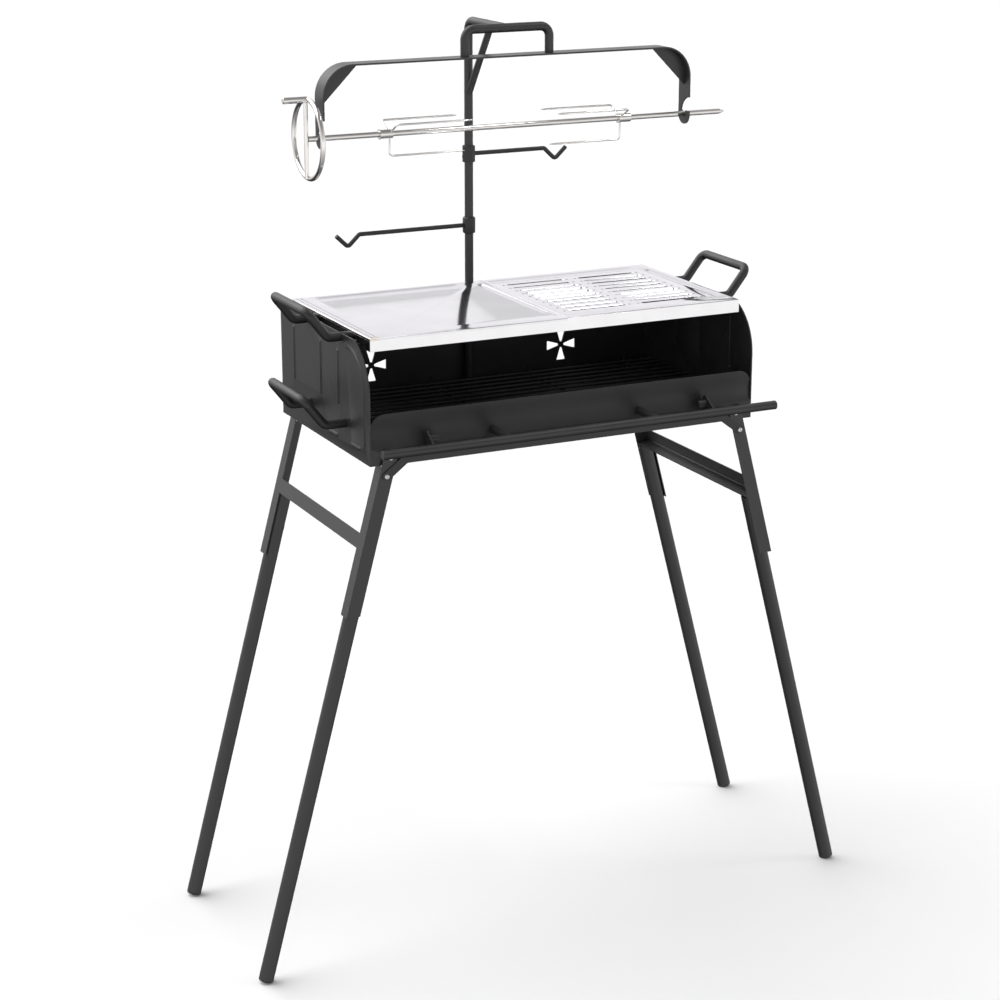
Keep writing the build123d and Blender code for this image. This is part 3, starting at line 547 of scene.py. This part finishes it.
# the firebox floor takes the darker coat, which paints the shade inside the box
soften("bottom_panel", FIREBOX_SHADE_COAT, 0.3)
soften("front_rail", LEG_COAT, 0.4)
for node in ("rail_stubs", "rail_lugs", "lug_pins", "post_socket", "post_guide", "top_ledges",
             "grid_ledges", "apron_front", "apron_rear", "leg_spacers"):
    soften(node, COAT, 0.4)
for node in ("lower_handle_left", "lower_handle_right", "upper_handle_left", "upper_handle_right"):
    soften(node, COAT, 0.6)
for side in ("left", "right"):
    soften("crossbar_" + side, LEG_COAT, 0.4)
    for end in ("front", "rear"):
        soften(f"leg_angle_{end}_{side}", LEG_COAT, 0.4)
        soften(f"leg_tube_{end}_{side}", LEG_COAT, 0.3)
soften("foot_plugs", PLUG, 0.8, steps=3)
soften("leg_screws", DARK_SCREW, 0.4)
soften("leg_bolts_lower", ZINC, 0.3)
soften("leg_bolts_upper", ZINC, 0.3)

# ---------- cooking plates and grid ----------

soften("top_frame", FRAME_SHEET, 0.35)
plate_piece("griddle", depth=0.0024, roll_mm=1.3)
plate_piece("grate", depth=0.0014, roll_mm=0.4, slot_chamfer_mm=2.3)
# the charcoal grid takes the darker coat, which paints the shade inside the box
soften("charcoal_grid", FIREBOX_SHADE_COAT, 0.2)

# ---------- post, arm and cradle ----------

for node in ("post", "brace", "cradle_loop"):
    soften(node, LEG_COAT, 0.4)
soften("cradle_strip", LEG_COAT, 0.35)
soften("cradle_gussets", LEG_COAT, 0.3)
soften("post_foot", TURNED, 0.2)

# ---------- spit and forks ----------

for node in ("spit_rod", "wheel_ring", "wheel_spoke", "crank_peg", "fork_collar_left", "fork_collar_right",
             "fork_prongs_left", "fork_prongs_right"):
    soften(node, CHROME, 0.25)

# ---------- swing hooks ----------

for node in ("upper_collar", "lower_collar", "upper_hook_arm", "lower_hook_arm"):
    soften(node, COAT, 0.35)
soften("upper_bush", TURNED, 0.2)
soften("lower_bush", TURNED, 0.2)
soften("upper_set_screws", DARK_SCREW, 0.2)


# ---------- floor, light and camera ----------

FLOOR_HALF_SIZE = 30.0
FLOOR_GREY = 0.93

# tones by height of the direction, from straight down (0) through the horizon (0.5) to straight up (1)
REAR_TONES = [(0.0, 0.03), (0.28, 0.06), (0.37, 0.34), (0.47, 0.93), (0.50, (1.0, 0.99, 1.01)),
              (0.72, (0.98, 0.97, 0.99)), (0.84, 0.45), (1.0, 0.30)]
FRONT_TONES = [(0.0, 0.25), (0.25, 0.70), (0.36, 1.15), (0.48, 1.15), (0.52, 0.85), (0.66, 0.55),
               (0.82, 0.30), (1.0, 0.28)]

LAMP_POWER = 2.6
LAMP_SPREAD = radians(75)
LAMP_WAY = Vector((0.66, -0.83, -1.25))

SLOT_LIGHT_OFFSET = Vector((0.98, -0.655, 1.99))
SLOT_LIGHT_SIZE = (0.42, 0.17)
SLOT_LIGHT_POWER = 5.0

CAMERA_PLACE = (-1.5103, -3.016875, 1.6348)
CAMERA_TILT = radians(73.153)
CAMERA_TURN = radians(-25.996)
CAMERA_LENS = 86.70
CAMERA_SENSOR = 36.0


def soft_light(name, place, target, width, height, power):
    """A rectangular softbox aimed at a point."""
    data = bpy.data.lights.new(name, "AREA")
    data.shape = "RECTANGLE"
    data.size = width
    data.size_y = height
    data.energy = power
    lamp = bpy.data.objects.new(name, data)
    bpy.context.scene.collection.objects.link(lamp)
    way = Vector(target) - Vector(place)
    lamp.matrix_world = Matrix.Translation(place) @ way.to_track_quat("-Z", "Y").to_matrix().to_4x4()


def make_floor():
    """Plain pale floor, lit by the studio but not thrown back into the pieces."""
    bm = bmesh.new()
    bmesh.ops.create_grid(bm, x_segments=2, y_segments=2, size=FLOOR_HALF_SIZE)
    mesh = bpy.data.meshes.new("studio_floor")
    bm.to_mesh(mesh)
    bm.free()
    floor = bpy.data.objects.new("studio_floor", mesh)
    bpy.context.scene.collection.objects.link(floor)
    material, tree, shader = new_material("pale_floor")
    set_input(shader, "Base Color", (FLOOR_GREY, FLOOR_GREY, FLOOR_GREY, 1))
    set_input(shader, "Roughness", 0.9)
    set_input(shader, "Specular IOR Level", 0.0)
    mesh.materials.append(material)
    floor.visible_glossy = False
    floor.visible_diffuse = False


def make_surroundings():
    """Studio round the piece: bright walls, a dim ceiling, a bright floor in front and a dark one behind."""
    world = bpy.data.worlds.new("studio")
    bpy.context.scene.world = world
    world.use_nodes = True
    tree = world.node_tree
    tree.nodes.clear()
    place = tree.nodes.new("ShaderNodeTexCoord")
    parts = tree.nodes.new("ShaderNodeSeparateXYZ")
    join(tree, place, "Generated", parts, 0)
    height = math_node(tree, "MULTIPLY_ADD", (parts, "Z"), 0.5)
    height.inputs[2].default_value = 0.5
    rear = ramp_node(tree, REAR_TONES, height, 0)
    front = ramp_node(tree, FRONT_TONES, height, 0)
    turn = math_node(tree, "MULTIPLY_ADD", (parts, "Y"), 2.0, clamp=True)
    turn.inputs[2].default_value = 0.5
    both = mix_colour(tree, (turn, 0), (front, "Color"), (rear, "Color"))
    shade = add_node(tree, "ShaderNodeBackground", Strength=1.0)
    join(tree, both, 2, shade, "Color")
    out = tree.nodes.new("ShaderNodeOutputWorld")
    join(tree, shade, 0, out, "Surface")


def make_day_lamp():
    """Very soft distant lamp from the rear left, which lays a soft shadow to the front."""
    data = bpy.data.lights.new("distant_lamp", "SUN")
    data.energy = LAMP_POWER
    data.angle = LAMP_SPREAD
    lamp = bpy.data.objects.new("distant_lamp", data)
    bpy.context.scene.collection.objects.link(lamp)
    lamp.matrix_world = LAMP_WAY.to_track_quat("-Z", "Y").to_matrix().to_4x4()


def make_camera():
    """Camera at the viewing angle, standing off the front left corner."""
    data = bpy.data.cameras.new("camera")
    data.sensor_width = CAMERA_SENSOR
    data.lens = CAMERA_LENS
    camera = bpy.data.objects.new("camera", data)
    bpy.context.scene.collection.objects.link(camera)
    camera.location = CAMERA_PLACE
    camera.rotation_euler = (CAMERA_TILT, 0.0, CAMERA_TURN)
    bpy.context.scene.camera = camera


make_floor()
make_surroundings()
make_day_lamp()
plate_low, plate_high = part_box("grate")
plate_middle = (plate_low + plate_high) / 2
soft_light("slot_softbox", plate_middle + SLOT_LIGHT_OFFSET, plate_middle, *SLOT_LIGHT_SIZE, SLOT_LIGHT_POWER)
make_camera()
bpy.context.scene.view_settings.view_transform = "Standard"
